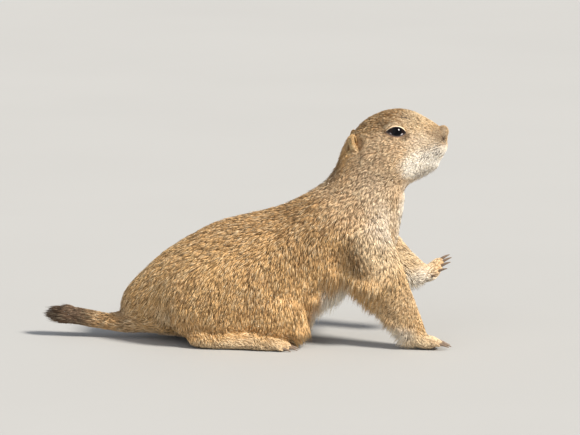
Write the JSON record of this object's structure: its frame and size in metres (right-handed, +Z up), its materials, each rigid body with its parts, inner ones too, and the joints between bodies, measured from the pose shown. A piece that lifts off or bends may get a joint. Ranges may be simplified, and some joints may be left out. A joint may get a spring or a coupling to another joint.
{
  "type": "prairie dog",
  "caption": "Life-size still model of a short-tailed burrowing rodent crouching alert at its burrow, head raised, one forefoot lifted and tail out behind",
  "frame": {"origin": "on the floor, under the middle of the bounding box", "axes": "+X towards the head, +Y towards the animal's left side, +Z up; the feet stand on Z = 0"},
  "size_m": [0.2818, 0.1, 0.1585],
  "materials": {
    "coat": "short, flat-lying fur, yellow-brown flecked with straw and dark brown",
    "pale_coat": "short cream to buff fur",
    "tail_coat": "short rusty-tan fur",
    "dark_coat": "bushy brown-black fur",
    "eye": "wet gloss",
    "claw": "dark horn",
    "nose": "bare skin with a fine grain"
  },
  "bodies": {
    "root": {"chest": "coat", "ear_left": "coat", "ear_right": "coat", "eye_left": "eye", "eye_right": "eye", "eyelids_left": "coat", "eyelids_right": "coat", "forearm_left": "coat", "forearm_right": "coat", "forefoot_left": "pale_coat", "forefoot_left_claw_1": "claw", "forefoot_left_claw_2": "claw", "forefoot_left_claw_3": "claw", "forefoot_left_claw_4": "claw", "forefoot_left_claw_5": "claw", "forefoot_right": "pale_coat", "forefoot_right_claw_1": "claw", "forefoot_right_claw_2": "claw", "forefoot_right_claw_3": "claw", "forefoot_right_claw_4": "claw", "forefoot_right_claw_5": "claw", "head": "coat", "hindfoot_left": "pale_coat", "hindfoot_left_claw_1": "claw", "hindfoot_left_claw_2": "claw", "hindfoot_left_claw_3": "claw", "hindfoot_left_claw_4": "claw", "hindfoot_left_claw_5": "claw", "hindfoot_right": "pale_coat", "hindfoot_right_claw_1": "claw", "hindfoot_right_claw_2": "claw", "hindfoot_right_claw_3": "claw", "hindfoot_right_claw_4": "claw", "hindfoot_right_claw_5": "claw", "lower_jaw": "pale_coat", "neck": "coat", "nose": "nose", "ribs": "coat", "tail_base": "tail_coat", "tail_middle": "tail_coat", "tail_tip": "dark_coat", "thigh_left": "coat", "thigh_right": "coat", "torso": "coat", "upper_arm_left": "coat", "upper_arm_right": "coat"}
  },
  "joints": []
}
